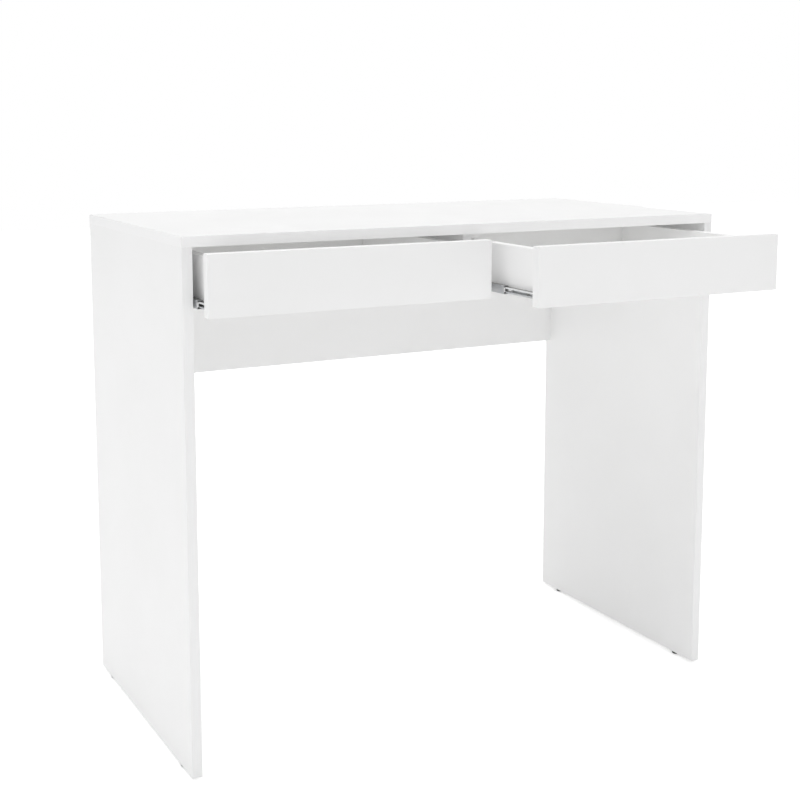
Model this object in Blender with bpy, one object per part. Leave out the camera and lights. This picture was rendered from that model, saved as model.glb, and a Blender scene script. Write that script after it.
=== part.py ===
"""Writing desk with two inset drawers on full-extension ball-bearing slides.

Lengths are in millimetres until they reach a mesh. +X is to the right of a person who sits
at the desk, +Y is towards the back and +Z is up. Panels are laid out from the front plane of
the desk, y = 0, and the frame empty then puts the origin on the floor under the middle of
the box that the whole object fills.
"""
import math

import bmesh
import bpy
from mathutils import Matrix, Vector

MM = 0.001

# Carcass
DESK_WIDTH = 900.0
DESK_DEPTH = 450.0
DESK_HEIGHT = 762.0
BOARD = 15.0
FOOT_HEIGHT = 4.0
MODESTY_BOTTOM = 490.5
DIVIDER_BOTTOM = 657.5
DIVIDER_SETBACK = 18.7
CONTACT_GAP = 0.3
EDGE_RADIUS = 0.5

# Drawers
FRONT_HEIGHT = 85.0
FRONT_BOTTOM = 657.5
FRONT_SIDE_GAP = 1.5
BOX_BOTTOM = 663.5
BOX_HEIGHT = 71.5
BOX_LENGTH = 350.0
GROOVE_LIFT = 10.0
GROOVE_DEPTH = 6.0
GROOVE_HEIGHT = 3.6
BOTTOM_THICKNESS = 3.0
LEFT_EXTENSION = 53.0
RIGHT_EXTENSION = 170.0

# Slides: "in" is the distance from the cabinet wall, "up" the height from the slide's middle
SLIDE_GAP = 12.7
SLIDE_MIDDLE = 671.0
SLIDE_FRONT = 17.0
OUTER_RAIL_LENGTH = 350.0
MIDDLE_RAIL_LENGTH = 340.0
INNER_RAIL_LENGTH = 350.0
CAGE_LENGTH = 150.0
OUTER_CAGE_FRONT = 111.5
INNER_CAGE_FRONT = 116.5
BEND_STEPS = 3

# Holes in each rail's web: radius, how far they start from the front, and their spacing
OUTER_RAIL_HOLES = (3.3, 20.0, 128.0)
MIDDLE_RAIL_HOLES = (3.5, 45.0, 128.0)
INNER_RAIL_HOLES = (1.8, 36.0, 128.0)
HOLES_PER_RAIL = 3
HOLE_STEPS = 16

# Share of the drawer's travel that each part of a slide makes
MIDDLE_RAIL_SHARE = 0.5
OUTER_CAGE_SHARE = 0.25
INNER_CAGE_SHARE = 0.75

# Cam fittings and glides
CAM_RADIUS = 7.5
CAM_DEPTH = 12.4
CAM_SETBACK = 34.0
CAM_SLOT = (7.0, 2.0, 2.5)
BOLT_RADIUS = 3.0
BOLT_GRIP = 11.0
GLIDE_RADIUS = 6.5
GLIDE_INSETS = (50.0, 400.0)
ROUND_STEPS = 20

HALF_WIDTH = DESK_WIDTH / 2
WALL_X = HALF_WIDTH - BOARD
HALF_BOARD = BOARD / 2
TOP_UNDERSIDE = DESK_HEIGHT - BOARD
MODESTY_FRONT = DESK_DEPTH - BOARD
BOX_FRONT = BOARD + CONTACT_GAP
BOX_BACK = BOARD + BOX_LENGTH
LEFTWARDS = Vector((-1.0, 0.0, 0.0))
RIGHTWARDS = Vector((1.0, 0.0, 0.0))
FORWARDS = Vector((0.0, -1.0, 0.0))
BACKWARDS = Vector((0.0, 1.0, 0.0))
UPWARDS = Vector((0.0, 0.0, 1.0))
DOWNWARDS = Vector((0.0, 0.0, -1.0))
ORIGIN_Y = (DESK_DEPTH - RIGHT_EXTENSION) / 2


def clear_scene():
    for item in list(bpy.data.objects):
        bpy.data.objects.remove(item, do_unlink=True)


def make_material(name, color, roughness, metallic=0.0):
    material = bpy.data.materials.new(name)
    material.use_nodes = True
    shader = material.node_tree.nodes["Principled BSDF"]
    shader.inputs["Base Color"].default_value = (*color, 1.0)
    shader.inputs["Roughness"].default_value = roughness
    shader.inputs["Metallic"].default_value = metallic
    return material


def make_empty(name, parent=None, y=0.0):
    empty = bpy.data.objects.new(name, None)
    bpy.context.collection.objects.link(empty)
    empty.parent = parent
    empty.location = (0.0, y * MM, 0.0)
    return empty


def finish_mesh(name, mesh_tool, parent, look):
    """Turn a bmesh in millimetres into an object in metres."""
    bmesh.ops.recalc_face_normals(mesh_tool, faces=mesh_tool.faces)
    bmesh.ops.scale(mesh_tool, vec=(MM, MM, MM), verts=mesh_tool.verts)
    mesh = bpy.data.meshes.new(name)
    mesh_tool.to_mesh(mesh)
    mesh_tool.free()
    thing = bpy.data.objects.new(name, mesh)
    bpy.context.collection.objects.link(thing)
    thing.parent = parent
    if look:
        mesh.materials.append(look)
    return thing


def add_block(mesh_tool, low, high):
    """Add a box between two corners."""
    middle = (Vector(low) + Vector(high)) / 2
    size = Vector(high) - Vector(low)
    place = Matrix.Translation(middle) @ Matrix.Diagonal((*size, 1.0))
    bmesh.ops.create_cube(mesh_tool, size=1.0, matrix=place)


def add_rod(mesh_tool, start, end, radius, steps=ROUND_STEPS):
    """Add a cylinder between the middles of its two ends."""
    start, end = Vector(start), Vector(end)
    turn = (end - start).to_track_quat("Z", "Y").to_matrix().to_4x4()
    bmesh.ops.create_cone(
        mesh_tool, cap_ends=True, segments=steps, radius1=radius, radius2=radius,
        depth=(end - start).length, matrix=Matrix.Translation((start + end) / 2) @ turn)


def round_edges(thing, width, steps=2, by_weight=False):
    bevel = thing.modifiers.new("rounded_edges", "BEVEL")
    bevel.width = width * MM
    bevel.segments = steps
    bevel.limit_method = "WEIGHT" if by_weight else "ANGLE"
    bevel.angle_limit = math.radians(60.0)


def weigh_edges(mesh_tool, square_sides):
    """Mark the edges to round: all but those of a side that meets another panel."""
    layer = mesh_tool.edges.layers.float.new("bevel_weight_edge")
    mesh_tool.normal_update()
    for edge in mesh_tool.edges:
        meets = any(face.normal.dot(side) > 0.99
                    for face in edge.link_faces for side in square_sides)
        edge[layer] = 0.0 if meets else 1.0


def make_panel(name, low, high, parent, look, radius=EDGE_RADIUS, square_sides=()):
    mesh_tool = bmesh.new()
    add_block(mesh_tool, low, high)
    weigh_edges(mesh_tool, square_sides)
    panel = finish_mesh(name, mesh_tool, parent, look)
    round_edges(panel, radius, by_weight=True)
    return panel


def cut_with(thing, name, shapes, parent):
    """Cut a list of blocks and rods out of an object; each list is one cutter."""
    mesh_tool = bmesh.new()
    for add_shape, *measures in shapes:
        add_shape(mesh_tool, *measures)
    cutter = finish_mesh(name, mesh_tool, parent, None)
    cutter.hide_render = True
    cutter.display_type = "WIRE"
    cut = thing.modifiers.new(name, "BOOLEAN")
    cut.operation = "DIFFERENCE"
    cut.solver = "EXACT"
    cut.object = cutter


def make_round(name, start, end, radius, parent, look, edge):
    """A turned piece with softened ends and a smooth wall."""
    mesh_tool = bmesh.new()
    add_rod(mesh_tool, start, end, radius)
    piece = finish_mesh(name, mesh_tool, parent, look)
    round_edges(piece, edge, 1)
    piece.data.shade_smooth()
    piece.data.set_sharp_from_angle(angle=math.radians(30.0))
    return piece


def sheet_section(path, thickness, bend):
    """Outline of sheet metal folded along a path of right-angled corners."""
    points = [Vector(point) for point in path]
    spine = []
    last = len(points) - 1
    for index, point in enumerate(points):
        ahead = (points[min(index + 1, last)] - points[min(index, last - 1)]).normalized()
        behind = (points[max(index, 1)] - points[max(index - 1, 0)]).normalized()
        if index in (0, last):
            spine.append((point, Vector((-ahead.y, ahead.x))))
            continue
        side = 1.0 if behind.x * ahead.y - behind.y * ahead.x > 0 else -1.0
        normal = Vector((-behind.y, behind.x))
        centre = point - behind * bend + normal * side * bend
        for step in range(BEND_STEPS + 1):
            turned = normal.copy()
            turned.rotate(Matrix.Rotation(side * math.pi / 2 * step / BEND_STEPS, 2))
            spine.append((centre - turned * side * bend, turned))
    near_side = [point + normal * thickness / 2 for point, normal in spine]
    far_side = [point - normal * thickness / 2 for point, normal in reversed(spine)]
    return near_side + far_side


def make_channel(name, outline, wall_x, inward, front, length, parent, look):
    """Run a slide section along y, with its "in" axis away from a cabinet wall."""
    mesh_tool = bmesh.new()
    corners = [mesh_tool.verts.new((wall_x + inward * depth, front, SLIDE_MIDDLE + rise))
               for depth, rise in outline]
    face = mesh_tool.faces.new(corners)
    extruded = bmesh.ops.extrude_face_region(mesh_tool, geom=[face])
    moved = [item for item in extruded["geom"] if isinstance(item, bmesh.types.BMVert)]
    bmesh.ops.translate(mesh_tool, vec=(0.0, length, 0.0), verts=moved)
    channel = finish_mesh(name, mesh_tool, parent, look)
    channel.data.shade_smooth()
    channel.data.set_sharp_from_angle(angle=math.radians(40.0))
    return channel


def drill_rail(rail, name, wall_x, inward, front, holes, body):
    """Screw holes and access holes through a rail's web."""
    radius, first, spacing = holes
    rods = []
    for index in range(HOLES_PER_RAIL):
        y = front + first + index * spacing
        rods.append((add_rod, (wall_x - inward, y, SLIDE_MIDDLE),
                     (wall_x + inward * (SLIDE_GAP + 1.0), y, SLIDE_MIDDLE), radius, HOLE_STEPS))
    cut_with(rail, f"{name}_holes", rods, body)


def mirrored_path(half_path):
    """A path that starts above the slide's middle and repeats below it."""
    below = [(depth, -rise) for depth, rise in reversed(half_path)]
    return list(half_path) + below


def slide_sections():
    """Sections of the three rails and the two ball cages, from the wall inwards."""
    outer = mirrored_path([(8.4, 6.6), (8.4, 8.1), (0.7, 8.1)])
    middle = mirrored_path([(10.0, 4.6), (10.0, 5.95), (2.55, 5.95)])
    inner = mirrored_path([(4.65, 1.9), (4.65, 3.95), (12.0, 3.95)])
    outer_cage = mirrored_path([(7.0, 7.0), (1.65, 7.0)])
    inner_cage = mirrored_path([(9.0, 4.95), (3.75, 4.95)])
    return {
        "outer_rail": sheet_section(outer, 0.8, 0.6),
        "middle_rail": sheet_section(middle, 0.7, 0.5),
        "inner_rail": sheet_section(inner, 0.7, 0.6),
        "outer_cage": sheet_section(outer_cage, 0.5, 0.5),
        "inner_cage": sheet_section(inner_cage, 0.5, 0.5),
    }


def build_slide(name, wall_x, inward, sections, bodies, steel, nylon):
    """One telescopic slide: a cabinet rail, a middle rail, a drawer rail and two cages."""
    rails = (
        ("outer_rail", bodies["desk"], OUTER_RAIL_LENGTH, OUTER_RAIL_HOLES),
        ("middle_rail", bodies["middle"], MIDDLE_RAIL_LENGTH, MIDDLE_RAIL_HOLES),
        ("inner_rail", bodies["drawer"], INNER_RAIL_LENGTH, INNER_RAIL_HOLES),
    )
    for part, body, length, holes in rails:
        rail = make_channel(f"{name}_{part}", sections[part], wall_x, inward, SLIDE_FRONT,
                            length, body, steel)
        drill_rail(rail, f"{name}_{part}", wall_x, inward, SLIDE_FRONT, holes, body)
    for part, front in (("outer_cage", OUTER_CAGE_FRONT), ("inner_cage", INNER_CAGE_FRONT)):
        make_channel(f"{name}_{part}", sections[part], wall_x, inward, front, CAGE_LENGTH,
                     bodies[part], nylon)


def build_drawer(side, wall_x, divider_x, body, board, bottom_board):
    """A front, two sides, a back and a bottom that slides into grooves."""
    outward = math.copysign(1.0, wall_x)
    front_ends = sorted((wall_x - outward * FRONT_SIDE_GAP, outward * FRONT_SIDE_GAP))
    box_ends = sorted((wall_x - outward * SLIDE_GAP, divider_x + outward * SLIDE_GAP))
    inside = (box_ends[0] + BOARD, box_ends[1] - BOARD)
    groove_low = BOX_BOTTOM + GROOVE_LIFT
    groove_high = groove_low + GROOVE_HEIGHT
    box_top = BOX_BOTTOM + BOX_HEIGHT

    front = make_panel(f"{side}_drawer_front", (front_ends[0], 0.0, FRONT_BOTTOM),
                       (front_ends[1], BOARD, FRONT_BOTTOM + FRONT_HEIGHT), body, board)
    groove = (add_block, (inside[0] - GROOVE_DEPTH, BOARD - GROOVE_DEPTH, groove_low),
              (inside[1] + GROOVE_DEPTH, BOARD + 1.0, groove_high))
    cut_with(front, f"{side}_front_groove", [groove], body)

    for label, outer_x, inner_x in (("left", box_ends[0], inside[0]),
                                    ("right", box_ends[1], inside[1])):
        low_x, high_x = sorted((outer_x, inner_x))
        panel = make_panel(f"{side}_drawer_{label}_side", (low_x, BOX_FRONT, BOX_BOTTOM),
                           (high_x, BOX_BACK, box_top), body, board,
                           square_sides=(FORWARDS,))
        into = math.copysign(1.0, outer_x - inner_x)
        groove_x = sorted((inner_x - into, inner_x + into * GROOVE_DEPTH))
        groove = (add_block, (groove_x[0], BOX_FRONT - 1.0, groove_low),
                  (groove_x[1], BOX_BACK + 1.0, groove_high))
        cut_with(panel, f"{side}_{label}_side_groove", [groove], body)

    make_panel(f"{side}_drawer_back",
               (inside[0] + CONTACT_GAP, BOX_BACK - BOARD, groove_high),
               (inside[1] - CONTACT_GAP, BOX_BACK, box_top), body, board,
               square_sides=(LEFTWARDS, RIGHTWARDS))
    reach = GROOVE_DEPTH - CONTACT_GAP
    bottom_low = groove_low + CONTACT_GAP
    make_panel(f"{side}_drawer_bottom",
               (inside[0] - reach, BOARD - reach, bottom_low),
               (inside[1] + reach, BOX_BACK, bottom_low + BOTTOM_THICKNESS),
               body, bottom_board, 0.3)


def cam_fittings():
    """Each fitting: name, panel with the cam, panel with the thread, points and directions.

    The cam's seat is the middle of its visible face, "into" runs from that face into the
    panel, "along" runs from the cam to the joint, and the bolt goes on into the next panel.
    """
    fittings = []
    high_cam = TOP_UNDERSIDE - CAM_SETBACK
    for side, sign in (("left", -1.0), ("right", 1.0)):
        for place, y in (("front", 60.0), ("rear", 390.0)):
            fittings.append((f"{side}_top_{place}", f"{side}_side_panel", "top_panel",
                             Vector((sign * WALL_X, y, high_cam)),
                             Vector((sign, 0.0, 0.0)), Vector((0.0, 0.0, 1.0))))
        for place, z in (("lower", MODESTY_BOTTOM + 40.0), ("upper", TOP_UNDERSIDE - 70.0)):
            fittings.append((f"{side}_modesty_{place}", "modesty_panel", f"{side}_side_panel",
                             Vector((sign * (WALL_X - CAM_SETBACK), DESK_DEPTH, z)),
                             Vector((0.0, -1.0, 0.0)), Vector((sign, 0.0, 0.0))))
    fittings.append(("divider_top", "centre_divider", "top_panel",
                     Vector((HALF_BOARD, 120.0, high_cam)),
                     Vector((-1.0, 0.0, 0.0)), Vector((0.0, 0.0, 1.0))))
    fittings.append(("divider_modesty", "centre_divider", "modesty_panel",
                     Vector((HALF_BOARD, MODESTY_FRONT - CAM_SETBACK, high_cam)),
                     Vector((-1.0, 0.0, 0.0)), Vector((0.0, 1.0, 0.0))))
    return fittings


def build_fittings(body, panels, zinc, steel):
    """Cams and bolts, and the bores that they sit in."""
    cam_bores = {}
    bolt_bores = {}
    for name, cam_panel, bolt_panel, seat, into, along in cam_fittings():
        across = into.cross(along)
        cam = make_round(f"{name}_cam", seat, seat + into * CAM_DEPTH, CAM_RADIUS,
                         body, zinc, 0.5)
        length, width, depth = CAM_SLOT
        slots = []
        for first, second in ((along, across), (across, along)):
            reach = first * length / 2 + second * width / 2
            low = seat - reach - into * 1.0
            high = seat + reach + into * depth
            corners = [[min(pair), max(pair)] for pair in zip(low, high)]
            slots.append([(add_block, [pair[0] for pair in corners],
                           [pair[1] for pair in corners])])
        for index, slot in enumerate(slots):
            cut_with(cam, f"{name}_slot_{index}", slot, body)

        axis_point = seat + into * HALF_BOARD
        bolt_start = axis_point + along * (CAM_RADIUS + 2 * CONTACT_GAP)
        joint = axis_point + along * CAM_SETBACK
        make_round(f"{name}_bolt", bolt_start, joint + along * BOLT_GRIP, BOLT_RADIUS,
                   body, steel, 0.5)

        cam_bore = (add_rod, seat - into, seat + into * (CAM_DEPTH + CONTACT_GAP),
                    CAM_RADIUS + CONTACT_GAP)
        bolt_bore = (add_rod, axis_point, joint + along * (BOLT_GRIP + CONTACT_GAP),
                     BOLT_RADIUS + CONTACT_GAP)
        cam_bores.setdefault(cam_panel, []).append(cam_bore)
        bolt_bores.setdefault(cam_panel, []).append(bolt_bore)
        bolt_bores.setdefault(bolt_panel, []).append(bolt_bore)

    for kind, bores in (("cam", cam_bores), ("bolt", bolt_bores)):
        for panel_name, shapes in bores.items():
            cut_with(panels[panel_name], f"{panel_name}_{kind}_bores", shapes, body)


def build_carcass(body, board):
    """The top, two sides, a back panel that stiffens them, and the drawer divider.

    Each panel has two corners and the sides where it meets the others, whose edges are square.
    """
    under_top = TOP_UNDERSIDE - CONTACT_GAP
    panels = {
        "top_panel": ((-HALF_WIDTH, 0.0, TOP_UNDERSIDE), (HALF_WIDTH, DESK_DEPTH, DESK_HEIGHT),
                      (DOWNWARDS,)),
        "left_side_panel": ((-HALF_WIDTH, 0.0, FOOT_HEIGHT), (-WALL_X, DESK_DEPTH, under_top),
                            (UPWARDS,)),
        "right_side_panel": ((WALL_X, 0.0, FOOT_HEIGHT), (HALF_WIDTH, DESK_DEPTH, under_top),
                             (UPWARDS,)),
        "modesty_panel": ((-WALL_X + CONTACT_GAP, MODESTY_FRONT, MODESTY_BOTTOM),
                          (WALL_X - CONTACT_GAP, DESK_DEPTH, under_top),
                          (UPWARDS, LEFTWARDS, RIGHTWARDS)),
        "centre_divider": ((-HALF_BOARD, DIVIDER_SETBACK, DIVIDER_BOTTOM),
                           (HALF_BOARD, MODESTY_FRONT - CONTACT_GAP, under_top),
                           (UPWARDS, BACKWARDS)),
    }
    return {name: make_panel(name, low, high, body, board, square_sides=square_sides)
            for name, (low, high, square_sides) in panels.items()}


def build_glides(body, plastic):
    """Nail-on glides under the two side panels."""
    for side, sign in (("left", -1.0), ("right", 1.0)):
        for place, y in zip(("front", "rear"), GLIDE_INSETS):
            foot = Vector((sign * (HALF_WIDTH - HALF_BOARD), y, 0.0))
            head = foot + Vector((0.0, 0.0, FOOT_HEIGHT - CONTACT_GAP))
            make_round(f"{side}_{place}_glide", foot, head, GLIDE_RADIUS, body, plastic, 1.0)


def main():
    clear_scene()
    white_board = make_material("white_board", (0.90, 0.90, 0.89), 0.45)
    hardboard = make_material("white_hardboard", (0.86, 0.86, 0.85), 0.5)
    zinc_steel = make_material("zinc_steel", (0.62, 0.63, 0.65), 0.35, 1.0)
    zinc_cast = make_material("zinc_cast", (0.70, 0.70, 0.71), 0.4, 1.0)
    nylon = make_material("cage_nylon", (0.82, 0.82, 0.80), 0.5)
    glide_plastic = make_material("glide_plastic", (0.03, 0.03, 0.03), 0.5)

    frame = make_empty("desk_frame", None, -ORIGIN_Y)
    panels = build_carcass(frame, white_board)
    build_fittings(frame, panels, zinc_cast, zinc_steel)
    build_glides(frame, glide_plastic)

    sections = slide_sections()
    for side, sign, extension in (("left", -1.0, LEFT_EXTENSION),
                                  ("right", 1.0, RIGHT_EXTENSION)):
        bodies = {
            "desk": frame,
            "drawer": make_empty(f"{side}_drawer_carriage", frame, -extension),
            "middle": make_empty(f"{side}_middle_carriage", frame,
                                 -extension * MIDDLE_RAIL_SHARE),
            "outer_cage": make_empty(f"{side}_outer_cage_carriage", frame,
                                     -extension * OUTER_CAGE_SHARE),
            "inner_cage": make_empty(f"{side}_inner_cage_carriage", frame,
                                     -extension * INNER_CAGE_SHARE),
        }
        wall_x = sign * WALL_X
        divider_x = sign * HALF_BOARD
        build_drawer(side, wall_x, divider_x, bodies["drawer"], white_board, hardboard)
        for place, x, inward in (("wall", wall_x, -sign), ("divider", divider_x, sign)):
            build_slide(f"{side}_{place}_slide", x, inward, sections, bodies,
                        zinc_steel, nylon)


main()
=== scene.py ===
"""Looks of the writing desk: surfaces, small hardware, studio and camera.

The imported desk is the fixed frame. Lengths here are metres, and every place is worked out
from the frame's own boxes.
"""

import math

import bmesh
import bpy
from mathutils import Matrix, Vector


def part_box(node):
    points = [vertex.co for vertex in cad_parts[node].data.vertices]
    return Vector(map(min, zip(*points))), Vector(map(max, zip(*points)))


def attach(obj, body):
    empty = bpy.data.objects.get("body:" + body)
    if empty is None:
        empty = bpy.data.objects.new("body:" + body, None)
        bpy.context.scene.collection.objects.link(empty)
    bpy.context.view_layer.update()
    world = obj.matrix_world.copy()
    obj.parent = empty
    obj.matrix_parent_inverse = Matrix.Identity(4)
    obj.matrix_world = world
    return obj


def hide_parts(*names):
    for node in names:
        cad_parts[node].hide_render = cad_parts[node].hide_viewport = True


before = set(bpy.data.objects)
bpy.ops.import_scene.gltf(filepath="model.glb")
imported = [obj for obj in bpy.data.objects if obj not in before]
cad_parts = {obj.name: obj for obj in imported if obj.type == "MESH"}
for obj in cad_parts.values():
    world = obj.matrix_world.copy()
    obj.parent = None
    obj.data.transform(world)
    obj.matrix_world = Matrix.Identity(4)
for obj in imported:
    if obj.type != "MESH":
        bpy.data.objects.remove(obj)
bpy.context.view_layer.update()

MM = 0.001
AXES = {"x": 0, "y": 1, "z": 2}
WHITE = (1.0, 1.0, 1.0, 1.0)

# The clearance that the frame keeps between parts that touch on the real desk
GAP = 0.3 * MM

# Slides: how far from the cabinet wall each rail's web begins, and for each row of balls its
# distance from the wall, its height above the slide's middle and the balls' radius
RAIL_WEB_INSIDE = {"middle_rail": 2.9 * MM, "inner_rail": 11.65 * MM}
OUTER_BALL_ROW = (5.9 * MM, 7.0 * MM, 0.65 * MM)
INNER_BALL_ROW = (7.9 * MM, 4.95 * MM, 0.62 * MM)
BALLS_IN_ROW = 12
ROW_END_PITCHES = 0.75
BALL_RINGS = 6
BALL_STEPS = 10

# A drawer rail's paler copy of the zinc, painted light, reaches down to this far below its middle;
# the plain zinc below it is painted shade on the lower lip
PAINTED_LIGHT_REACH = 2 * MM

# Screws: head radius, rim, crown height, shank radius and shank length
FLUSH_SCREW = (3.1 * MM, 0.55 * MM, 0.72 * MM, 1.6 * MM, 0.05 * MM)
PAN_SCREW = (2.9 * MM, 0.7 * MM, 1.9 * MM, 1.5 * MM, 0.6 * MM)
CORNER_SCREW = (3.4 * MM, 0.5 * MM, 1.5 * MM, 1.7 * MM, 0.2 * MM)
SCREW_STEPS = 28
DOME_STEPS = 5
RIM_CHAMFER = 0.1 * MM

# Their cross recesses: length, width, depth, and the height that they are cut from
FLUSH_CROSS = (3.6 * MM, 0.9 * MM, 0.5 * MM, 0.9 * MM)
PAN_CROSS = (3.4 * MM, 0.9 * MM, 1.2 * MM, 2.1 * MM)
CORNER_CROSS = (3.8 * MM, 1.0 * MM, 1.1 * MM, 1.7 * MM)
CROSS_TAPER = (0.45, 0.8)

# Where the screws sit, and how far they are turned in radians: the first, then each further one
OUTER_SCREW_SPOTS = (20 * MM, 148 * MM, 276 * MM)
INNER_SCREW_SPOTS = (36 * MM, 164 * MM, 292 * MM)
OUTER_SCREW_SEAT = 0.35 * MM
CORNER_SCREW_HEIGHTS = (0.3, 0.78)
SLIDE_SPIN = (0.7, 1.1)
CORNER_SPIN = (0.4, 1.0)

# Plastic on the rails, as rounded blocks: start and end inwards from the rail's web, along the
# rail from its front, and up from its middle, and then the edges' radius
BUMPER_BLOCKS = (
    ((0.05 * MM, 1.05 * MM), (0.5 * MM, 6.5 * MM), (-3.4 * MM, 3.4 * MM), 0.4 * MM),
    ((-0.6 * MM, 1.05 * MM), (-1.1 * MM, -0.1 * MM), (-3.0 * MM, 3.0 * MM), 0.3 * MM),
)
LEVER_BLOCKS = (
    ((-0.05 * MM, -2.6 * MM), (2.0 * MM, 46.0 * MM), (-2.6 * MM, 2.6 * MM), 0.6 * MM),
    ((-1.6 * MM, -5.6 * MM), (0.0, 7.0 * MM), (-1.0 * MM, 2.9 * MM), 0.7 * MM),
)
LEVER_SETBACK = 72 * MM
ROUND_STEPS = 3

# Caps in the drawers' sides: a turned profile of radius and height, and where they sit
CAP_PROFILE = ((0.0, 0.1 * MM), (8.5 * MM, 0.1 * MM), (8.5 * MM, 0.35 * MM),
               (8.15 * MM, 0.75 * MM), (7.1 * MM, 0.9 * MM), (0.0, 0.9 * MM))
CAP_STEPS = 48
CAP_SETBACK = 34.0 * MM
CAP_HEIGHT = 0.55

# Studio light: the even room, the soft box overhead, the left, and a lift in tight corners
ROOM_LIGHT = 0.564
OVERHEAD_LIGHT = 2.59
OVERHEAD_SHARPNESS = 8.0
LEFT_LIGHT = 0.124
CORNER_LIGHT = 0.06
CORNER_REACH = 30.0 * MM
LIGHT_BOUNCES = 20
FLOOR_GLOW = 0.35

# Panels that meet: how far an end is moved over the gap, and what counts as the end
JOINT_REACH = 0.28 * MM
JOINT_BAND = 0.1 * MM

# The part of a noise's range that most of it falls in
NOISE_MIDDLE = (0.3, 0.7)

# Boards: what counts as the face, how far the rounded edges reach, and what counts as flat
FACE_REACH = 0.05 * MM
ROUND_REACH = 0.9 * MM
FLAT = 0.99

# How upright a face's normal is, on rails and drawer bottoms, for the face to count as level
LEVEL = 0.9

# Edges sharper than these angles, in degrees, stay creased
BOARD_CREASE = 60.0
METAL_CREASE = 40.0
PIECE_CREASE = 35.0
WELD_REACH = 0.001 * MM

FLOOR_REACH = 9.0
FLOOR_CUTS = 6

# Camera of the catalogue view
CAMERA_PLACE = (-1.0357, -1.8601, 0.9234)
CAMERA_TILT = 82.3531
CAMERA_TURN = -27.7498
CAMERA_LENS = 61.443
CAMERA_SHIFT = (0.00578, -0.12958)
CAMERA_SENSOR = 36.0


class Recipe:
    """A material in the making: its node tree and the shader that the nodes feed."""

    def __init__(self, name, roughness=0.5, metallic=0.0, specular=0.5):
        self.material = bpy.data.materials.new(name)
        self.material.use_nodes = True
        self.tree = self.material.node_tree
        self.shader = self.tree.nodes["Principled BSDF"]
        self.shader.inputs["Roughness"].default_value = roughness
        self.shader.inputs["Metallic"].default_value = metallic
        self.shader.inputs["Specular IOR Level"].default_value = specular
        self.place = self.node("ShaderNodeTexCoord").outputs["Object"]
        self.normal = None

    def node(self, kind, values=None, **settings):
        """Add a node; a value that is a socket is linked, and any other is set."""
        made = self.tree.nodes.new(kind)
        for key, value in settings.items():
            setattr(made, key, value)
        for socket, value in (values or {}).items():
            if isinstance(value, bpy.types.NodeSocket):
                self.tree.links.new(value, made.inputs[socket])
            else:
                made.inputs[socket].default_value = value
        return made

    def stretched(self, stretch):
        """Object coordinates drawn out by a factor along each axis."""
        scale = tuple(1.0 / factor for factor in stretch)
        return self.node("ShaderNodeMapping", {"Vector": self.place, "Scale": scale}).outputs[0]

    def noise(self, period, detail, stretch=(1.0, 1.0, 1.0), roughness=0.5):
        """Noise whose features are about one period across, in metres."""
        values = {"Vector": self.stretched(stretch), "Scale": 1.0 / period,
                  "Detail": detail, "Roughness": roughness}
        return self.node("ShaderNodeTexNoise", values).outputs["Fac"]

    def cells(self, period, stretch):
        """Voronoi cells about one period across: distance and a random colour."""
        values = {"Vector": self.stretched(stretch), "Scale": 1.0 / period}
        cells = self.node("ShaderNodeTexVoronoi", values)
        return cells.outputs["Distance"], cells.outputs["Color"]

    def waves(self, period, axis, wobble):
        """Soft bands that follow one another along an axis."""
        values = {"Vector": self.place, "Scale": math.pi / (10.0 * period),
                  "Distortion": wobble, "Detail": 1.0, "Detail Scale": 1.0}
        return self.node("ShaderNodeTexWave", values, wave_type="BANDS",
                         bands_direction=axis.upper()).outputs["Fac"]

    def spread(self, value, low, high):
        """Map the middle of a noise onto low to high."""
        start, end = NOISE_MIDDLE
        values = {"Value": value, "From Min": start, "From Max": end,
                  "To Min": low, "To Max": high}
        return self.node("ShaderNodeMapRange", values).outputs["Result"]

    def blend(self, share, first, second):
        """Two colours mixed by a share."""
        mix = self.node("ShaderNodeMix", data_type="RGBA")
        self.tree.links.new(share, mix.inputs[0])
        for socket, value in ((mix.inputs[6], first), (mix.inputs[7], second)):
            if isinstance(value, bpy.types.NodeSocket):
                self.tree.links.new(value, socket)
            else:
                socket.default_value = (*value, 1.0)
        return mix.outputs[2]

    def feed(self, socket, value):
        self.tree.links.new(value, self.shader.inputs[socket])

    def bump(self, height, depth):
        """Raise the surface by up to depth where height is 1; calls add up."""
        values = {"Height": height, "Distance": depth, "Strength": 1.0}
        if self.normal:
            values["Normal"] = self.normal
        self.normal = self.node("ShaderNodeBump", values).outputs["Normal"]
        self.feed("Normal", self.normal)


def melamine():
    """White melamine skin: a satin press texture over slightly uneven board."""
    recipe = Recipe("melamine_face", specular=0.45)
    cloud = recipe.noise(0.16, detail=3.0)
    recipe.feed("Base Color", recipe.blend(recipe.spread(cloud, 0.0, 1.0),
                                           (0.892, 0.892, 0.890), (0.908, 0.908, 0.908)))
    recipe.feed("Roughness", recipe.spread(recipe.noise(0.03, detail=4.0), 0.36, 0.46))
    recipe.bump(recipe.noise(0.07, detail=1.0), 0.05 * MM)
    recipe.bump(recipe.noise(0.0007, detail=3.0, roughness=0.6), 0.012 * MM)
    return recipe.material


def painted_light_edge_band(axis, dark, light):
    """White plastic edge band, scraped along its length, from a dark to a light shade, in tones
    that are painted light for the way the edge runs.
    """
    recipe = Recipe(f"painted_light_edge_band_{axis}", specular=0.5)
    along = [1.0, 1.0, 1.0]
    along[AXES[axis]] = 25.0
    streak = recipe.noise(0.0012, detail=3.0, stretch=along)
    recipe.feed("Base Color", recipe.blend(recipe.spread(streak, 0.0, 1.0), dark, light))
    recipe.feed("Roughness", recipe.spread(streak, 0.28, 0.4))
    recipe.bump(streak, 0.01 * MM)
    recipe.bump(recipe.waves(4.0 * MM, axis, wobble=0.6), 0.004 * MM)
    return recipe.material


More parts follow.
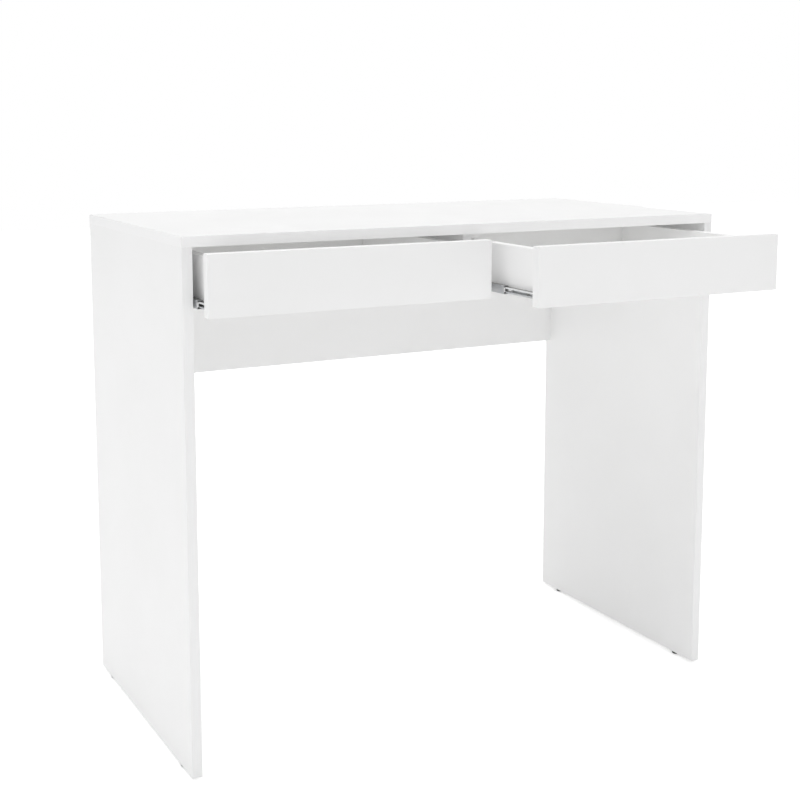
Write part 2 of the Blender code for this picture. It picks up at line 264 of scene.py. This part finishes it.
def particleboard():
    """Raw particleboard, where a bore, a groove or a bare edge shows it."""
    recipe = Recipe("raw_particleboard", specular=0.2)
    chip_edge, chip_tint = recipe.cells(0.0028, stretch=(1.6, 1.6, 0.8))
    tint = recipe.node("ShaderNodeSeparateColor", {"Color": chip_tint}).outputs["Red"]
    chips = recipe.blend(tint, (0.36, 0.235, 0.125), (0.66, 0.51, 0.33))
    dust = recipe.noise(0.0006, detail=4.0, roughness=0.7)
    recipe.feed("Base Color", recipe.blend(recipe.spread(dust, 0.0, 0.7), chips,
                                           (0.55, 0.41, 0.25)))
    recipe.feed("Roughness", recipe.spread(dust, 0.78, 0.95))
    recipe.bump(chip_edge, 0.12 * MM)
    recipe.bump(dust, 0.08 * MM)
    return recipe.material


def hardboard_face():
    """White lacquer on hardboard: thinner than melamine, with the fibres showing through."""
    recipe = Recipe("hardboard_lacquer", specular=0.4)
    fibre = recipe.noise(0.0015, detail=4.0, stretch=(1.0, 3.0, 1.0), roughness=0.65)
    recipe.feed("Base Color", recipe.blend(recipe.spread(fibre, 0.0, 1.0),
                                           (0.868, 0.868, 0.862), (0.892, 0.892, 0.888)))
    recipe.feed("Roughness", recipe.spread(recipe.noise(0.02, detail=3.0), 0.42, 0.54))
    recipe.bump(fibre, 0.02 * MM)
    return recipe.material


def hardboard_raw():
    """Bare brown hardboard at the edges of the drawers' bottoms."""
    recipe = Recipe("hardboard_raw", specular=0.25)
    fibre = recipe.noise(0.0022, detail=6.0, stretch=(1.0, 2.2, 1.0), roughness=0.7)
    cloud = recipe.noise(0.05, detail=3.0)
    wood = recipe.blend(recipe.spread(fibre, 0.0, 1.0), (0.235, 0.135, 0.07), (0.40, 0.255, 0.145))
    recipe.feed("Base Color", recipe.blend(recipe.spread(cloud, 0.0, 0.35), wood,
                                           (0.30, 0.185, 0.10)))
    recipe.feed("Roughness", recipe.spread(fibre, 0.62, 0.8))
    recipe.bump(fibre, 0.06 * MM)
    return recipe.material


def zinc_steel(name, dark, light, bloomed, metallic):
    """Cold-rolled steel strip with zinc: fine rolling lines, and a paler bloom in patches."""
    recipe = Recipe(name, metallic=metallic)
    rolled = recipe.noise(0.0005, detail=4.0, stretch=(1.0, 60.0, 1.0), roughness=0.6)
    bloom = recipe.noise(0.012, detail=4.0, stretch=(1.0, 2.0, 1.0))
    tone = recipe.blend(recipe.spread(rolled, 0.0, 1.0), dark, light)
    recipe.feed("Base Color", recipe.blend(recipe.spread(bloom, 0.0, 0.5), tone, bloomed))
    recipe.feed("Roughness", recipe.spread(bloom, 0.40, 0.56))
    recipe.bump(rolled, 0.008 * MM)
    return recipe.material


def greased_track():
    """A rail's ball track: polished by the balls, under a thin film of grey grease."""
    recipe = Recipe("greased_track", metallic=1.0)
    rubbed = recipe.noise(0.0006, detail=3.0, stretch=(1.0, 40.0, 1.0))
    film = recipe.noise(0.004, detail=4.0, stretch=(1.0, 3.0, 1.0))
    recipe.feed("Base Color", recipe.blend(recipe.spread(film, 0.0, 1.0),
                                           (0.26, 0.258, 0.25), (0.36, 0.358, 0.35)))
    recipe.feed("Roughness", recipe.spread(rubbed, 0.32, 0.5))
    recipe.bump(rubbed, 0.006 * MM)
    return recipe.material


def zinc_cast():
    """Die-cast zinc: dull, with the mould's fine grain and flow marks."""
    recipe = Recipe("die_cast_zinc", metallic=1.0)
    flow = recipe.noise(0.006, detail=4.0)
    grain = recipe.noise(0.0005, detail=3.0, roughness=0.65)
    recipe.feed("Base Color", recipe.blend(recipe.spread(flow, 0.0, 1.0),
                                           (0.56, 0.56, 0.57), (0.68, 0.68, 0.68)))
    recipe.feed("Roughness", recipe.spread(grain, 0.38, 0.58))
    recipe.bump(grain, 0.02 * MM)
    return recipe.material


def screw_steel():
    """Zinc-plated screws: a turned, slightly yellow-blue bright finish."""
    recipe = Recipe("screw_steel", metallic=1.0)
    bloom = recipe.noise(0.003, detail=4.0)
    grain = recipe.noise(0.0003, detail=2.0)
    recipe.feed("Base Color", recipe.blend(recipe.spread(bloom, 0.0, 1.0),
                                           (0.66, 0.65, 0.60), (0.72, 0.73, 0.75)))
    recipe.feed("Roughness", recipe.spread(grain, 0.2, 0.34))
    recipe.bump(grain, 0.006 * MM)
    return recipe.material


def ball_steel():
    """Hardened balls, polished and lightly greased."""
    recipe = Recipe("ball_steel", metallic=1.0)
    grease = recipe.noise(0.0009, detail=3.0)
    recipe.feed("Base Color", recipe.blend(recipe.spread(grease, 0.0, 1.0),
                                           (0.60, 0.60, 0.60), (0.74, 0.74, 0.75)))
    recipe.feed("Roughness", recipe.spread(grease, 0.08, 0.22))
    return recipe.material


def moulded_plastic(name, dark, light, rough, grain_period, grain_depth):
    """Moulded plastic: a fine mould texture and a faint cloudiness."""
    recipe = Recipe(name, specular=0.45)
    cloud = recipe.noise(grain_period * 12.0, detail=3.0)
    grain = recipe.noise(grain_period, detail=3.0, roughness=0.6)
    recipe.feed("Base Color", recipe.blend(recipe.spread(cloud, 0.0, 1.0), dark, light))
    recipe.feed("Roughness", recipe.spread(grain, rough - 0.06, rough + 0.08))
    recipe.bump(grain, grain_depth)
    return recipe.material


def floor_paint():
    """A plain pale studio floor, with a glow that only the camera sees."""
    recipe = Recipe("studio_floor", roughness=0.9, specular=0.1)
    cloud = recipe.noise(0.6, detail=2.0)
    recipe.feed("Base Color", recipe.blend(recipe.spread(cloud, 0.0, 1.0),
                                           (0.90, 0.90, 0.90), (0.915, 0.915, 0.915)))
    seen = recipe.node("ShaderNodeLightPath").outputs["Is Camera Ray"]
    glow = recipe.node("ShaderNodeMath", {0: seen, 1: FLOOR_GLOW}, operation="MULTIPLY")
    recipe.shader.inputs["Emission Color"].default_value = WHITE
    recipe.feed("Emission Strength", glow.outputs["Value"])
    return recipe.material


MELAMINE = melamine()
# The same white band in three copies, lightest on edges that run along x and darkest on those along
# z: painted light and painted shade by the way an edge runs
BANDS = {"x": painted_light_edge_band("x", (0.935, 0.935, 0.935), (0.955, 0.955, 0.957)),
         "y": painted_light_edge_band("y", (0.905, 0.905, 0.905), (0.925, 0.925, 0.927)),
         "z": painted_light_edge_band("z", (0.885, 0.885, 0.885), (0.905, 0.905, 0.907))}
CHIPS = particleboard()
LACQUER = hardboard_face()
FIBRE = hardboard_raw()
STEEL = zinc_steel("zinc_plated_steel", (0.50, 0.51, 0.53), (0.64, 0.65, 0.67),
                   (0.66, 0.67, 0.66), 1.0)
# A paler, less metallic copy of the zinc: painted light on the drawer rails' webs and upper lips
PAINTED_LIGHT_STEEL = zinc_steel("painted_light_zinc_steel", (0.70, 0.71, 0.72), (0.80, 0.81, 0.82),
                        (0.82, 0.83, 0.82), 0.3)
TRACK = greased_track()
CAST = zinc_cast()
SCREW = screw_steel()
BALL = ball_steel()
NYLON = moulded_plastic("cage_nylon_grain", (0.76, 0.76, 0.73), (0.82, 0.82, 0.80), 0.42,
                        0.0006, 0.01 * MM)
BUMPER = moulded_plastic("bumper_plastic", (0.86, 0.86, 0.85), (0.90, 0.90, 0.90), 0.32,
                         0.0006, 0.008 * MM)
CAP = moulded_plastic("cap_plastic", (0.87, 0.87, 0.87), (0.90, 0.90, 0.90), 0.36,
                      0.0008, 0.01 * MM)
GLIDE = moulded_plastic("glide_plastic_grain", (0.009, 0.009, 0.010), (0.018, 0.018, 0.019), 0.6,
                        0.0007, 0.02 * MM)


def smooth_edges(thing, angle, weighted):
    """Weld the frame's loose triangles, and shade the rounded edges smoothly."""
    mesh = thing.data
    custom = mesh.attributes.get("custom_normal")
    if custom:
        mesh.attributes.remove(custom)
    mesh.shade_smooth()
    weld = thing.modifiers.new("weld", "WELD")
    weld.merge_threshold = WELD_REACH
    split = thing.modifiers.new("creases", "EDGE_SPLIT")
    split.split_angle = math.radians(angle)
    if weighted:
        thing.modifiers.new("flat_faces", "WEIGHTED_NORMAL").weight = 100


def coat(node, materials, choose):
    """Give a node its materials, and each polygon the one that choose() names."""
    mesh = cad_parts[node].data
    mesh.materials.clear()
    for material in materials:
        mesh.materials.append(material)
    for polygon in mesh.polygons:
        polygon.material_index = choose(polygon)


def finish_board(node, bare_sides):
    """Skin on a board's two faces, band on its edges in a tone painted light and shade by the way
    each edge runs, and raw board where it is bare.

    bare_sides holds the unbanded edges, such as "-z" for the bottom one.
    """
    low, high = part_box(node)
    size = high - low
    thickness = min(range(3), key=lambda axis: size[axis])
    edge_axes = [axis for axis in range(3) if axis != thickness]
    names = list(AXES)
    materials = [MELAMINE, CHIPS] + [BANDS[name] for name in names]

    def choose(polygon):
        centre, normal = polygon.center, polygon.normal
        depth = min(centre[thickness] - low[thickness], high[thickness] - centre[thickness])
        if abs(normal[thickness]) > FLAT:
            return 0 if depth < FACE_REACH else 1
        axis = max(edge_axes, key=lambda candidate: abs(normal[candidate]))
        outwards = normal[axis] > 0
        gap = high[axis] - centre[axis] if outwards else centre[axis] - low[axis]
        if gap > ROUND_REACH:
            return 1
        flat = abs(normal[axis]) > FLAT
        if flat and ("+" if outwards else "-") + names[axis] in bare_sides:
            return 1
        # The band copy follows the way the edge runs, so its tone is painted light and shade
        run = next(other for other in edge_axes if other != axis)
        return 2 + run

    coat(node, materials, choose)
    smooth_edges(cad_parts[node], BOARD_CREASE, True)


def finish_drawer_bottom(node):
    """Lacquer above and below, and bare hardboard at the edges."""
    coat(node, [LACQUER, FIBRE], lambda polygon: 0 if abs(polygon.normal.z) > LEVEL else 1)
    smooth_edges(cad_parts[node], BOARD_CREASE, True)


def finish_rail(node):
    """Zinc all over, and grease on the flanges' faces that the balls run along.

    A drawer rail gets a paler, less metallic copy of the zinc on its web and upper lip as painted
    light, and keeps the plain zinc on the outside of its lower lip as painted shade.
    """
    low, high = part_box(node)
    middle = (low.z + high.z) / 2.0
    cabinet_rail, drawer_rail = node.endswith("_outer_rail"), node.endswith("_inner_rail")
    # pale is the painted-light copy of the zinc on a drawer rail; the plain zinc on its lower lip
    # is painted shade
    zinc, grease, pale = range(3)

    def choose(polygon):
        rise = polygon.center.z - middle
        if abs(polygon.normal.z) < LEVEL:
            return pale if drawer_rail and rise > -PAINTED_LIGHT_REACH else zinc
        if polygon.normal.z * rise > 0:
            return zinc if cabinet_rail else grease
        return pale if drawer_rail else grease

    coat(node, [STEEL, TRACK, PAINTED_LIGHT_STEEL], choose)
    smooth_edges(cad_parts[node], METAL_CREASE, False)


def finish_plain(node, material):
    coat(node, [material], lambda polygon: 0)
    smooth_edges(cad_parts[node], METAL_CREASE, False)


def finish_frame():
    """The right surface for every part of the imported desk: bare board where an edge is hidden."""
    finish_board("top_panel", ())
    finish_board("left_side_panel", ("+z",))
    finish_board("right_side_panel", ("+z",))
    finish_board("modesty_panel", ("+z", "-x", "+x"))
    finish_board("centre_divider", ("+z", "+y"))
    for side in ("left", "right"):
        finish_board(f"{side}_drawer_front", ())
        for place in ("left", "right"):
            finish_board(f"{side}_drawer_{place}_side", ("-y", "+y"))
        finish_board(f"{side}_drawer_back", ("-x", "+x"))
        finish_drawer_bottom(f"{side}_drawer_bottom")
    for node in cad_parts:
        if node.endswith("_rail"):
            finish_rail(node)
        elif node.endswith("_bolt"):
            finish_plain(node, STEEL)
        elif node.endswith("_cam"):
            finish_plain(node, CAST)
        elif node.endswith("_cage"):
            finish_plain(node, NYLON)
        elif node.endswith("_glide"):
            finish_plain(node, GLIDE)


def close_joints(node, name, sides, body):
    """Show a copy of a panel that reaches its neighbours, where the frame keeps a gap.

    sides holds the faces that meet another panel, such as "+z" for the upper one.
    """
    panel = bpy.data.objects.new(name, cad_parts[node].data.copy())
    low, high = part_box(node)
    for side in sides:
        axis = AXES[side[1]]
        face, outwards = (high[axis], 1.0) if side[0] == "+" else (low[axis], -1.0)
        for vert in panel.data.vertices:
            if abs(face - vert.co[axis]) < JOINT_BAND:
                vert.co[axis] += outwards * JOINT_REACH
    bpy.context.scene.collection.objects.link(panel)
    smooth_edges(panel, BOARD_CREASE, True)
    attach(panel, body)
    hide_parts(node)


def close_all_joints():
    for side in ("left", "right"):
        close_joints(f"{side}_side_panel", f"{side}_side_board", ("+z",), "desk")
        drawer = f"{side}_drawer"
        close_joints(f"{drawer}_back", f"{drawer}_back_board", ("-x", "+x"), drawer)
        for place in ("left", "right"):
            close_joints(f"{drawer}_{place}_side", f"{drawer}_{place}_side_board", ("-y",), drawer)
    close_joints("modesty_panel", "modesty_board", ("+z", "-x", "+x"), "desk")
    close_joints("centre_divider", "divider_board", ("+z", "+y"), "desk")


def make_piece(name, mesh_tool, material, body):
    """Turn a bmesh in the row frame into a piece that rides on a body."""
    bmesh.ops.recalc_face_normals(mesh_tool, faces=mesh_tool.faces)
    mesh = bpy.data.meshes.new(name)
    mesh_tool.to_mesh(mesh)
    mesh_tool.free()
    mesh.materials.append(material)
    mesh.shade_smooth()
    mesh.set_sharp_from_angle(angle=math.radians(PIECE_CREASE))
    piece = bpy.data.objects.new(name, mesh)
    bpy.context.scene.collection.objects.link(piece)
    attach(piece, body)
    return piece


def turned(mesh_tool, profile, steps, place):
    """Spin a profile of (radius, height) points, both ends on the axis, and place it."""
    rings = []
    for radius, height in profile:
        if radius == 0.0:
            rings.append([mesh_tool.verts.new(place @ Vector((0.0, 0.0, height)))])
            continue
        ring = []
        for step in range(steps):
            angle = 2.0 * math.pi * step / steps
            point = Vector((radius * math.cos(angle), radius * math.sin(angle), height))
            ring.append(mesh_tool.verts.new(place @ point))
        rings.append(ring)
    for first, second in zip(rings, rings[1:]):
        for step in range(steps):
            after = (step + 1) % steps
            corners = [first[step % len(first)], first[after % len(first)],
                       second[after % len(second)], second[step % len(second)]]
            unique = list(dict.fromkeys(corners))
            mesh_tool.faces.new(unique)


def dome_profile(radius, rim, height, shank_radius, shank_length):
    """A screw from the tip of its shank to the crown of its head."""
    profile = [(0.0, -shank_length), (shank_radius, -shank_length), (shank_radius, 0.0),
               (radius - RIM_CHAMFER, 0.0), (radius, RIM_CHAMFER), (radius, rim)]
    for step in range(1, DOME_STEPS):
        angle = math.pi / 2.0 * step / DOME_STEPS
        profile.append((radius * math.cos(angle), rim + (height - rim) * math.sin(angle)))
    profile.append((0.0, height))
    return profile


def cross_recess(length, width, depth, top):
    """A tapered cross that a driver would leave in a screw's head."""
    mesh_tool = bmesh.new()
    for turn in (0.0, math.pi / 2.0):
        spin = Matrix.Rotation(turn, 4, "Z")
        half, side = length / 2.0, width / 2.0
        wide = [(-half, -side), (half, -side), (half, side), (-half, side)]
        upper = [mesh_tool.verts.new(spin @ Vector((x, y, top))) for x, y in wide]
        lower = [mesh_tool.verts.new(spin @ Vector((x * CROSS_TAPER[0], y * CROSS_TAPER[1],
                                                    top - depth)))
                 for x, y in wide]
        mesh_tool.faces.new(upper)
        mesh_tool.faces.new(lower[::-1])
        for index in range(4):
            after = (index + 1) % 4
            mesh_tool.faces.new((upper[after], upper[index], lower[index], lower[after]))
    bmesh.ops.recalc_face_normals(mesh_tool, faces=mesh_tool.faces)
    return mesh_tool


def as_object(name, mesh_tool):
    mesh = bpy.data.meshes.new(name)
    mesh_tool.to_mesh(mesh)
    mesh_tool.free()
    thing = bpy.data.objects.new(name, mesh)
    bpy.context.scene.collection.objects.link(thing)
    return thing


def screw_mesh(profile, recess):
    """A screw at the origin that looks along +Z, with its recess cut out."""
    solid_tool = bmesh.new()
    turned(solid_tool, profile, SCREW_STEPS, Matrix.Identity(4))
    bmesh.ops.recalc_face_normals(solid_tool, faces=solid_tool.faces)
    solid = as_object("screw_blank", solid_tool)
    cutter = as_object("screw_recess", recess)
    cut = solid.modifiers.new("recess", "BOOLEAN")
    cut.operation = "DIFFERENCE"
    cut.solver = "EXACT"
    cut.use_self = True
    cut.object = cutter
    bpy.context.view_layer.update()
    evaluated = solid.evaluated_get(bpy.context.evaluated_depsgraph_get())
    mesh = bpy.data.meshes.new_from_object(evaluated)
    bpy.data.objects.remove(solid)
    bpy.data.objects.remove(cutter)
    return mesh


def add_copies(mesh_tool, mesh, places):
    """Add a copy of a mesh at each of several places."""
    for place in places:
        known = len(mesh_tool.verts)
        mesh_tool.from_mesh(mesh)
        mesh_tool.verts.ensure_lookup_table()
        for vert in mesh_tool.verts[known:]:
            vert.co = place @ vert.co


def facing(point, direction, spin=0.0):
    """A placement at a point whose +Z looks along a direction."""
    turn = Vector(direction).to_track_quat("Z", "Y").to_matrix().to_4x4()
    return Matrix.Translation(point) @ turn @ Matrix.Rotation(spin, 4, "Z")


def slide_walls():
    """Each slide: its name, side, the wall that it hangs on and the way in from it."""
    for side in ("left", "right"):
        for place in ("wall", "divider"):
            name = f"{side}_{place}_slide"
            low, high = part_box(f"{name}_outer_rail")
            inward = 1.0 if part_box(f"{name}_inner_rail")[1].x > high.x else -1.0
            wall_x = (low.x if inward > 0 else high.x) - inward * GAP
            yield name, side, wall_x, inward


def build_slide_screws():
    """Countersunk screws in the cabinet rails, and pan heads in the drawer rails."""
    flush = screw_mesh(dome_profile(*FLUSH_SCREW), cross_recess(*FLUSH_CROSS))
    pan = screw_mesh(dome_profile(*PAN_SCREW), cross_recess(*PAN_CROSS))
    first_spin, more_spin = SLIDE_SPIN
    for name, side, wall_x, inward in slide_walls():
        for rail, mesh, spots, seat, body, way in (
                ("outer_rail", flush, OUTER_SCREW_SPOTS, OUTER_SCREW_SEAT, "desk", 1.0),
                ("inner_rail", pan, INNER_SCREW_SPOTS, RAIL_WEB_INSIDE["inner_rail"],
                 f"{side}_drawer", -1.0)):
            low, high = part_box(f"{name}_{rail}")
            middle = (low.z + high.z) / 2.0
            mesh_tool = bmesh.new()
            places = [facing((wall_x + inward * seat, low.y + spot, middle),
                             (inward * way, 0.0, 0.0), first_spin + index * more_spin)
                      for index, spot in enumerate(spots)]
            add_copies(mesh_tool, mesh, places)
            make_piece(f"{name}_{rail}_screws", mesh_tool, SCREW, body)


def add_ball(mesh_tool, centre, radius):
    profile = [(0.0, -radius)]
    for ring in range(1, BALL_RINGS):
        angle = math.pi * ring / BALL_RINGS - math.pi / 2.0
        profile.append((radius * math.cos(angle), radius * math.sin(angle)))
    profile.append((0.0, radius))
    turned(mesh_tool, profile, BALL_STEPS, Matrix.Translation(centre))


def build_balls():
    """Two rows of steel balls in each cage."""
    pitches = BALLS_IN_ROW - 1 + 2 * ROW_END_PITCHES
    for name, side, wall_x, inward in slide_walls():
        for cage, (inset, rise, radius) in (("outer_cage", OUTER_BALL_ROW),
                                            ("inner_cage", INNER_BALL_ROW)):
            low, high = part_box(f"{name}_{cage}")
            middle = (low.z + high.z) / 2.0
            pitch = (high.y - low.y) / pitches
            mesh_tool = bmesh.new()
            for index in range(BALLS_IN_ROW):
                y = low.y + pitch * (index + ROW_END_PITCHES)
                for up in (-1.0, 1.0):
                    add_ball(mesh_tool, (wall_x + inward * inset, y, middle + up * rise), radius)
            make_piece(f"{name}_{cage}_balls", mesh_tool, BALL, f"{side}_{cage}s")


def add_rounded_block(mesh_tool, low, high, radius):
    """A block with rounded edges between two corners."""
    corner_low = Vector(map(min, low, high))
    corner_high = Vector(map(max, low, high))
    size = corner_high - corner_low
    place = Matrix.Translation((corner_low + corner_high) / 2.0) @ Matrix.Diagonal((*size, 1.0))
    cube = bmesh.ops.create_cube(mesh_tool, size=1.0, matrix=place)
    edges = list({edge for vert in cube["verts"] for edge in vert.link_edges})
    bmesh.ops.bevel(mesh_tool, geom=edges, offset=radius, segments=ROUND_STEPS, profile=0.5,
                    affect="EDGES", clamp_overlap=True)


def build_rail_plastic(rail, setback, blocks, label, body):
    """A moulded piece of several blocks on the web of the same rail of every slide."""
    for name, side, wall_x, inward in slide_walls():
        low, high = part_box(f"{name}_{rail}")
        middle = (low.z + high.z) / 2.0
        web = wall_x + inward * RAIL_WEB_INSIDE[rail]
        front = low.y + setback
        mesh_tool = bmesh.new()
        for inwards, along, up, radius in blocks:
            corners = [(web + inward * inwards[end], front + along[end], middle + up[end])
                       for end in (0, 1)]
            add_rounded_block(mesh_tool, *corners, radius)
        make_piece(f"{name}_{label}", mesh_tool, BUMPER, f"{side}_{body}")


def build_rail_plastics():
    """A stop clipped to each middle rail's front end, and a release lever in each drawer rail."""
    build_rail_plastic("middle_rail", 0.0, BUMPER_BLOCKS, "bumper", "middle_rails")
    build_rail_plastic("inner_rail", LEVER_SETBACK, LEVER_BLOCKS, "release_lever", "drawer")


def build_corner_screws():
    """Two screws through each drawer side into the drawer's back."""
    mesh = screw_mesh(dome_profile(*CORNER_SCREW), cross_recess(*CORNER_CROSS))
    first_spin, more_spin = CORNER_SPIN
    for side in ("left", "right"):
        back_low, back_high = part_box(f"{side}_drawer_back")
        y = (back_low.y + back_high.y) / 2.0
        heights = [back_low.z + share * (back_high.z - back_low.z)
                   for share in CORNER_SCREW_HEIGHTS]
        for place, outwards in (("left", -1.0), ("right", 1.0)):
            low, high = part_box(f"{side}_drawer_{place}_side")
            x = high.x if outwards > 0 else low.x
            mesh_tool = bmesh.new()
            places = [facing((x + outwards * GAP, y, z), (outwards, 0.0, 0.0),
                             first_spin + index * more_spin)
                      for index, z in enumerate(heights)]
            add_copies(mesh_tool, mesh, places)
            make_piece(f"{side}_drawer_{place}_back_screws", mesh_tool, SCREW,
                       f"{side}_drawer")


def build_cover_caps():
    """A press-in cap over the fitting that holds each drawer side to its front."""
    for side in ("left", "right"):
        front_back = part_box(f"{side}_drawer_front")[1].y
        for place, inwards in (("left", 1.0), ("right", -1.0)):
            low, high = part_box(f"{side}_drawer_{place}_side")
            x = high.x if inwards > 0 else low.x
            spot = (x, front_back + CAP_SETBACK, low.z + CAP_HEIGHT * (high.z - low.z))
            mesh_tool = bmesh.new()
            turned(mesh_tool, CAP_PROFILE, CAP_STEPS, facing(spot, (inwards, 0.0, 0.0)))
            make_piece(f"{side}_drawer_{place}_cap", mesh_tool, CAP, f"{side}_drawer")


def build_floor():
    """A wide, flat and pale floor."""
    mesh_tool = bmesh.new()
    corners = [(-FLOOR_REACH, -FLOOR_REACH), (FLOOR_REACH, -FLOOR_REACH),
               (FLOOR_REACH, FLOOR_REACH), (-FLOOR_REACH, FLOOR_REACH)]
    mesh_tool.faces.new([mesh_tool.verts.new((x, y, 0.0)) for x, y in corners])
    bmesh.ops.subdivide_edges(mesh_tool, edges=mesh_tool.edges[:], cuts=FLOOR_CUTS,
                              use_grid_fill=True)
    floor = as_object("floor", mesh_tool)
    floor.data.materials.append(floor_paint())


def world_math(tree, operation, first, second):
    """A Math node in the world's tree, fed by sockets or plain numbers."""
    made = tree.nodes.new("ShaderNodeMath")
    made.operation = operation
    for socket, value in zip(made.inputs, (first, second)):
        if isinstance(value, bpy.types.NodeSocket):
            tree.links.new(value, socket)
        else:
            socket.default_value = value
    return made.outputs["Value"]


def light_from(tree, direction, strength, sharpness):
    """Light that is strongest from one direction and fades with the angle from it."""
    facing_node = tree.nodes.new("ShaderNodeVectorMath")
    facing_node.operation = "DOT_PRODUCT"
    place = tree.nodes.new("ShaderNodeTexCoord")
    tree.links.new(place.outputs["Generated"], facing_node.inputs[0])
    facing_node.inputs[1].default_value = direction
    share = world_math(tree, "MAXIMUM", facing_node.outputs["Value"], 0.0)
    return world_math(tree, "MULTIPLY", world_math(tree, "POWER", share, sharpness), strength)


def light_studio():
    """An even room with a soft box overhead and a little more light at the left.

    The camera sees the room as plain white, and tight corners get a small lift.
    """
    scene = bpy.context.scene
    world = bpy.data.worlds.new("white_room")
    scene.world = world
    world.use_nodes = True
    tree = world.node_tree
    background = tree.nodes["Background"]
    background.inputs["Color"].default_value = WHITE
    overhead = light_from(tree, (0.0, 0.0, 1.0), OVERHEAD_LIGHT, OVERHEAD_SHARPNESS)
    left = light_from(tree, (-1.0, 0.0, 0.0), LEFT_LIGHT, 1.0)
    lit = world_math(tree, "ADD", world_math(tree, "ADD", overhead, left), ROOM_LIGHT)
    seen = tree.nodes.new("ShaderNodeLightPath").outputs["Is Camera Ray"]
    tree.links.new(world_math(tree, "MAXIMUM", lit, seen), background.inputs["Strength"])
    world.light_settings.ao_factor = CORNER_LIGHT
    world.light_settings.distance = CORNER_REACH
    scene.cycles.use_fast_gi = True
    scene.cycles.fast_gi_method = "ADD"
    scene.cycles.max_bounces = LIGHT_BOUNCES
    scene.cycles.diffuse_bounces = LIGHT_BOUNCES
    scene.view_settings.view_transform = "Standard"


def place_camera():
    lens = bpy.data.cameras.new("catalogue_camera")
    lens.lens = CAMERA_LENS
    lens.sensor_width = CAMERA_SENSOR
    lens.shift_x, lens.shift_y = CAMERA_SHIFT
    camera = bpy.data.objects.new("catalogue_camera", lens)
    bpy.context.scene.collection.objects.link(camera)
    camera.location = CAMERA_PLACE
    camera.rotation_euler = (math.radians(CAMERA_TILT), 0.0, math.radians(CAMERA_TURN))
    bpy.context.scene.camera = camera


place_camera()
finish_frame()
close_all_joints()
build_slide_screws()
build_balls()
build_rail_plastics()
build_corner_screws()
build_cover_caps()
build_floor()
light_studio()
